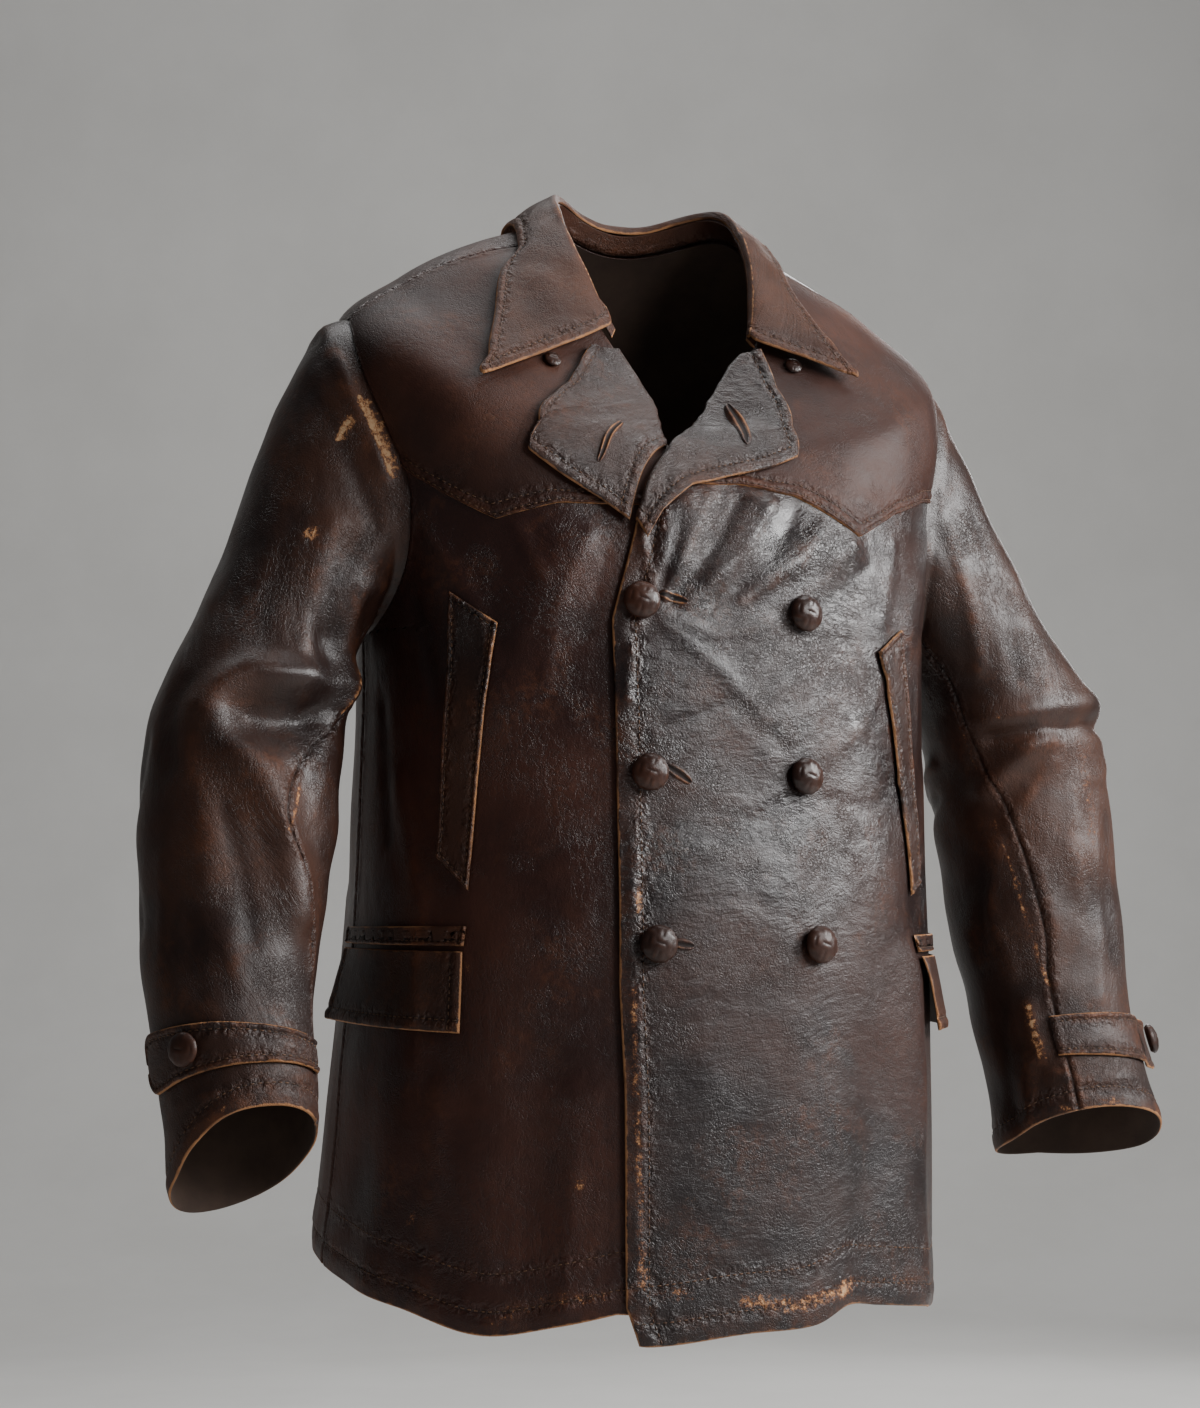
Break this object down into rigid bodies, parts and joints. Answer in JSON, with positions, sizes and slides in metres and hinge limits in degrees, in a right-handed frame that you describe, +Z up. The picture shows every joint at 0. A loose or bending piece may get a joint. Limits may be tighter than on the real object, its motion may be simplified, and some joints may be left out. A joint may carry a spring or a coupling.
{
  "type": "worn leather coat",
  "caption": "Hip-length double-breasted leather coat with pointed yokes, turned collar, lapels, cuff straps and welt and flap pockets, hollow and held as worn.",
  "frame": {"origin": "at the base of the neck, level with the tops of the shoulders, where a wearer carries the coat", "axes": "+Z up, the front faces -Y and the wearer's left side is +X"},
  "size_m": [0.7458, 0.3553, 0.764],
  "materials": {
    "body_leather": "worn, half glossy",
    "top_leather": "polished by wear",
    "yoke_leather": "matt, rubbed",
    "collar_leather": "matt, rubbed to tan at the fold",
    "sleeve_leather": "worn, half glossy",
    "trim_leather": "worn, half glossy",
    "button_leather": "polished, plaited"
  },
  "bodies": {
    "root": {"front_left": "top_leather", "front_right": "body_leather", "yoke_left": "yoke_leather", "yoke_right": "yoke_leather", "back": "body_leather", "sleeve_left_upper": "sleeve_leather", "sleeve_left_under": "sleeve_leather", "sleeve_right_upper": "sleeve_leather", "sleeve_right_under": "sleeve_leather", "cuff_strap_left": "trim_leather", "cuff_strap_right": "trim_leather", "cuff_button_left": "button_leather", "cuff_button_right": "button_leather", "lapel_left": "trim_leather", "lapel_right": "trim_leather", "collar_stand": "collar_leather", "collar_fall": "collar_leather", "welt_left": "trim_leather", "welt_right": "trim_leather", "pocket_band_left": "trim_leather", "pocket_band_right": "trim_leather", "pocket_flap_left": "trim_leather", "pocket_flap_right": "trim_leather", "front_button_1": "button_leather", "front_button_2": "button_leather", "front_button_3": "button_leather", "front_button_4": "button_leather", "front_button_5": "button_leather", "front_button_6": "button_leather", "collar_button_left": "button_leather", "collar_button_right": "button_leather"}
  },
  "joints": []
}
